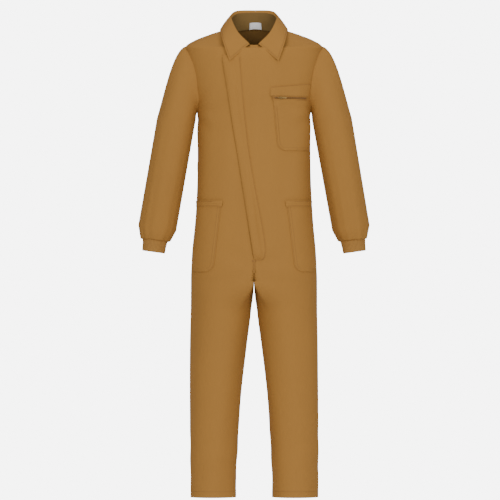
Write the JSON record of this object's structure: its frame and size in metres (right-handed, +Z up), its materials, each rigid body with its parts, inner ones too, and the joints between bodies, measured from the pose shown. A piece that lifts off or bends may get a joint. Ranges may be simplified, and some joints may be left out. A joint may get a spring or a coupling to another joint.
{
  "type": "beekeeping suit",
  "caption": "One-piece work coverall with a shirt collar, slanted concealed front zip, zipped chest pocket, hip pockets, knit cuffs and straight legs.",
  "frame": {"origin": "between the wearer's shoulders, on the garment's middle line, level with the shoulder seams", "axes": "+Z up, the front faces -Y, +X is the wearer's left"},
  "size_m": [0.7194, 0.2695, 1.5205],
  "materials": {
    "cloth": "matt cotton twill, caramel tan",
    "lining": "matt twill, the cloth's darker inner side",
    "knit": "rib knit, caramel tan",
    "zip_tape": "woven tape, tan",
    "teeth": "moulded plastic teeth, brown",
    "metal": "plated brass, softly polished",
    "label": "white satin weave, blank"
  },
  "bodies": {
    "suit_body": {"right_front_panel": "cloth", "left_front_panel": "cloth", "upper_back_panel": "cloth", "left_seat_panel": "cloth", "right_seat_panel": "cloth", "waist_elastic_casing": "cloth", "centre_front_seam": "cloth", "closure_bartack": "cloth", "zip_chain_left": "teeth", "zip_chain_right": "teeth", "zip_top_stop": "metal", "zip_bottom_stop": "metal", "zip_tape_right": "zip_tape", "zip_tape_left": "zip_tape", "closure_flap": "cloth", "collar_stand": "lining", "collar_leaf": "cloth", "neck_label": "label", "chest_pocket_patch": "cloth", "chest_pocket_band": "cloth", "right_hip_pocket": "cloth", "right_hip_pocket_band": "cloth", "left_hip_pocket": "cloth", "left_hip_pocket_band": "cloth", "pocket_zip_tape": "zip_tape", "pocket_zip_chain": "teeth"},
    "zip_runner": {"zip_slider": "metal", "zip_pull_tab": "metal"},
    "pocket_runner": {"pocket_zip_slider": "metal", "pocket_zip_crown": "metal"},
    "pocket_puller": {"pocket_zip_pull": "metal"},
    "right_arm": {"right_sleeve_head": "cloth", "right_sleeve": "cloth", "right_knit_cuff": "knit"},
    "right_leg": {"right_thigh_band": "cloth", "right_leg_front": "cloth", "right_leg_back": "cloth", "right_leg_hem": "cloth"},
    "left_arm": {"left_sleeve_head": "cloth", "left_sleeve": "cloth", "left_knit_cuff": "knit"},
    "left_leg": {"left_thigh_band": "cloth", "left_leg_front": "cloth", "left_leg_back": "cloth", "left_leg_hem": "cloth"}
  },
  "joints": [
    {"name": "right_shoulder", "type": "hinge", "parent": "suit_body", "child": "right_arm", "pos_m": [-0.2, 0, -0.05], "axis": [0, 1, 0], "range_deg": [0, 60], "deforming": ["right_sleeve_head"]},
    {"name": "left_shoulder", "type": "hinge", "parent": "suit_body", "child": "left_arm", "pos_m": [0.2, 0, -0.05], "axis": [0, -1, 0], "range_deg": [0, 60], "deforming": ["left_sleeve_head"]},
    {"name": "right_hip", "type": "hinge", "parent": "suit_body", "child": "right_leg", "pos_m": [-0.1, 0, -0.735], "axis": [-1, 0, 0], "range_deg": [-15, 50], "deforming": ["right_thigh_band"]},
    {"name": "left_hip", "type": "hinge", "parent": "suit_body", "child": "left_leg", "pos_m": [0.1, 0, -0.735], "axis": [-1, 0, 0], "range_deg": [-15, 50], "deforming": ["left_thigh_band"]},
    {"name": "main_zip_slide", "type": "slide", "parent": "suit_body", "child": "zip_runner", "axis": [0.1548, -0.0575, -0.9863], "range_m": [0, 0.53]},
    {"name": "pocket_zip_slide", "type": "slide", "parent": "suit_body", "child": "pocket_runner", "axis": [0.9561, 0.293, -0.0026], "range_m": [0, 0.045]},
    {"name": "pocket_pull_hinge", "type": "hinge", "parent": "pocket_runner", "child": "pocket_puller", "pos_m": [0.08194, -0.10473, -0.18193], "axis": [0, 0, -1], "range_deg": [0, 150]}
  ]
}
